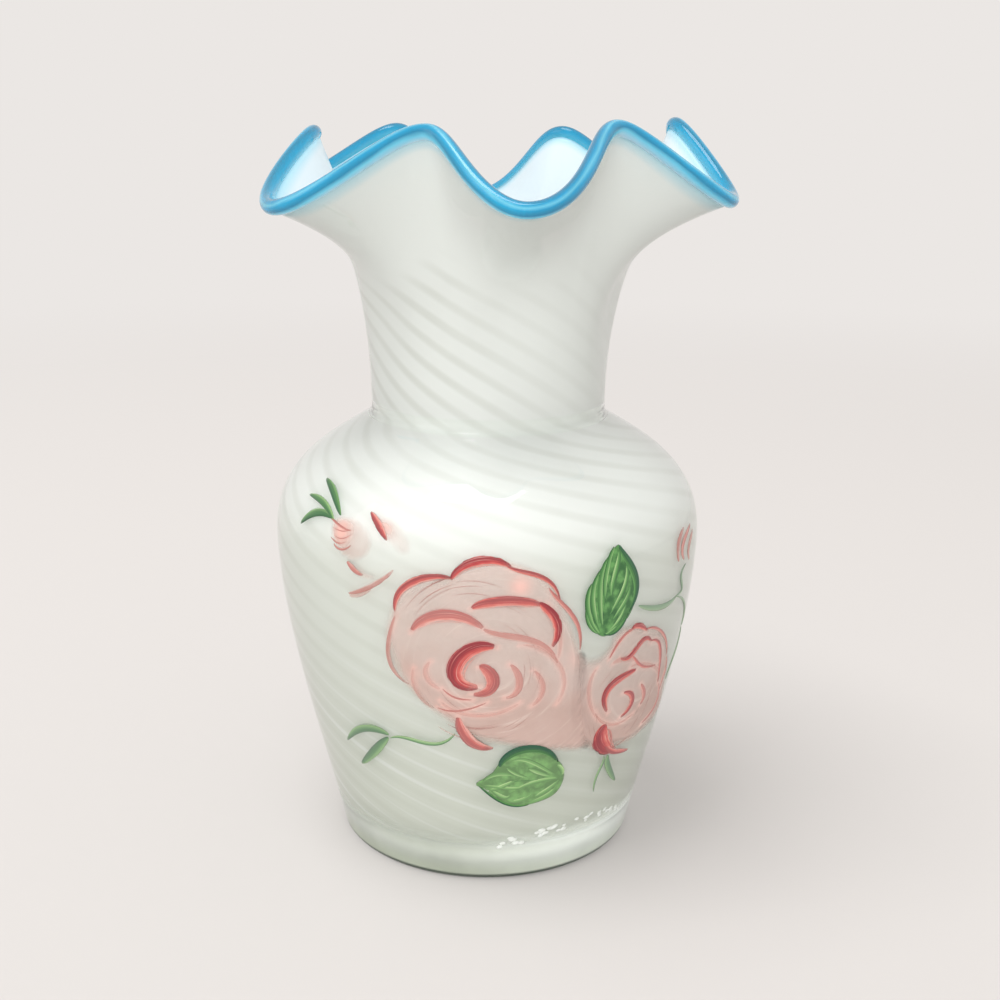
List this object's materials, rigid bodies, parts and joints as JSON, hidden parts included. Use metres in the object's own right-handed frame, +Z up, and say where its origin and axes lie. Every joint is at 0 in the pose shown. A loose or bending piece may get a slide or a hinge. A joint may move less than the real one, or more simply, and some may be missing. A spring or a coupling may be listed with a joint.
{
  "type": "glass vase",
  "caption": "Shouldered glass vase with a flared, crimped rim edged by a blue glass thread, spiral-ribbed opal lining, clear foot and raised enamel roses.",
  "frame": {"origin": "centre of the foot, on the surface the vase stands on", "axes": "+Z up along the vase's axis, -Y towards the painted front, +X to the right of the front"},
  "size_m": [0.1226, 0.1274, 0.1928],
  "materials": {
    "clear_glass": "clear, polished, faintly green",
    "opal_glass": "milk white, translucent, spiral ribbed",
    "blue_glass": "translucent blue, fire polished",
    "pink_enamel": "thin fired enamel wash",
    "coral_enamel": "raised fired enamel, brushed",
    "red_enamel": "raised fired enamel, brushed",
    "green_enamel": "raised fired enamel, brushed",
    "dark_green_enamel": "raised fired enamel, brushed"
  },
  "bodies": {
    "root": {"clear_casing": "clear_glass", "opal_lining": "opal_glass", "blue_lip": "blue_glass", "large_rose_wash": "pink_enamel", "large_rose_petals": "coral_enamel", "large_rose_shading": "red_enamel", "small_rose_wash": "pink_enamel", "small_rose_petals": "coral_enamel", "small_rose_shading": "red_enamel", "upper_leaf": "green_enamel", "upper_leaf_veins": "dark_green_enamel", "lower_leaf": "green_enamel", "lower_leaf_veins": "dark_green_enamel", "upper_stem": "green_enamel", "right_bud": "coral_enamel", "left_bud": "coral_enamel", "left_bud_leaves": "green_enamel", "loose_petals": "coral_enamel", "left_sprig": "green_enamel", "lower_bud": "red_enamel", "lower_bud_sepals": "green_enamel"}
  },
  "joints": []
}
